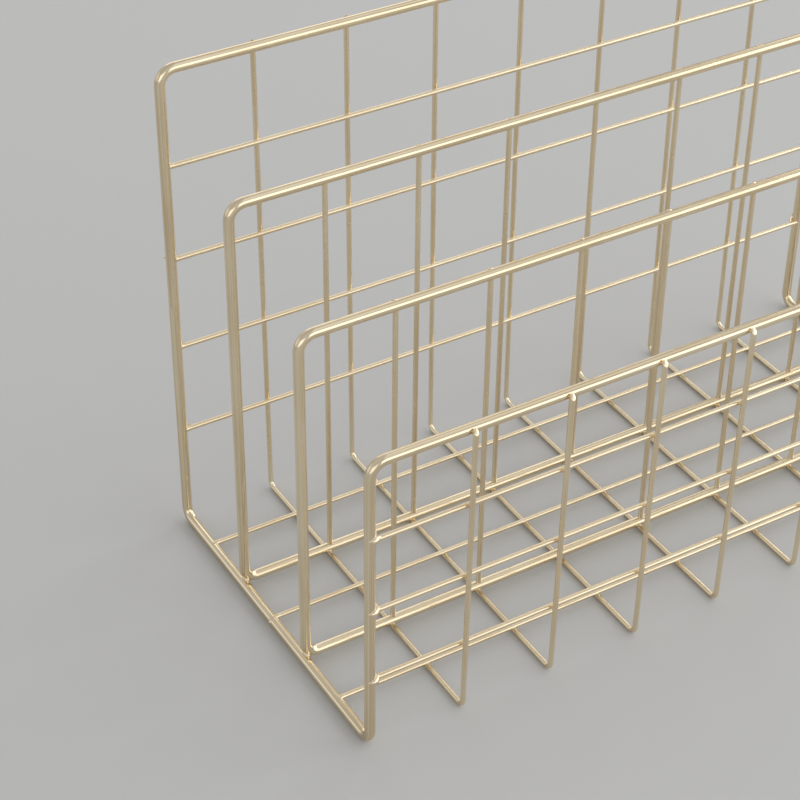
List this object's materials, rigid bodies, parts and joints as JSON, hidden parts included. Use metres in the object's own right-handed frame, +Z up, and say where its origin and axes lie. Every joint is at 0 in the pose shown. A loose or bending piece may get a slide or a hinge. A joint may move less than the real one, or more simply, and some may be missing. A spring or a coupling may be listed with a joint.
{
  "type": "desktop magazine rack",
  "caption": "Desktop rack of welded round wire with a high back, a low front, open ends and upright dividers that part it into slots.",
  "frame": {"origin": "on the table, in the middle of the footprint", "axes": "+X along the rack's length, +Y from the low front to the high back, +Z up"},
  "size_m": [0.31, 0.154, 0.203],
  "materials": {
    "frame_wire": "bright pale brass plating on steel wire",
    "filling_wire": "bright pale brass plating on steel wire"
  },
  "bodies": {
    "root": {"rim_frame": "frame_wire", "front_divider_frame": "frame_wire", "rear_divider_frame": "frame_wire", "profile_wire_1": "filling_wire", "profile_wire_2": "filling_wire", "profile_wire_3": "filling_wire", "profile_wire_4": "filling_wire", "profile_wire_5": "filling_wire", "profile_wire_6": "filling_wire", "profile_wire_7": "filling_wire", "back_cross_wire_1": "filling_wire", "back_cross_wire_2": "filling_wire", "back_cross_wire_3": "filling_wire", "back_cross_wire_4": "filling_wire", "front_cross_wire_1": "filling_wire", "front_cross_wire_2": "filling_wire", "front_cross_wire_3": "filling_wire", "floor_long_wire_1": "filling_wire", "floor_long_wire_2": "filling_wire", "floor_long_wire_3": "filling_wire", "front_divider_upright_1": "filling_wire", "front_divider_upright_2": "filling_wire", "front_divider_upright_3": "filling_wire", "front_divider_upright_4": "filling_wire", "front_divider_upright_5": "filling_wire", "front_divider_upright_6": "filling_wire", "front_divider_upright_7": "filling_wire", "rear_divider_upright_1": "filling_wire", "rear_divider_upright_2": "filling_wire", "rear_divider_upright_3": "filling_wire", "rear_divider_upright_4": "filling_wire", "rear_divider_upright_5": "filling_wire", "rear_divider_upright_6": "filling_wire", "rear_divider_upright_7": "filling_wire"}
  },
  "joints": []
}
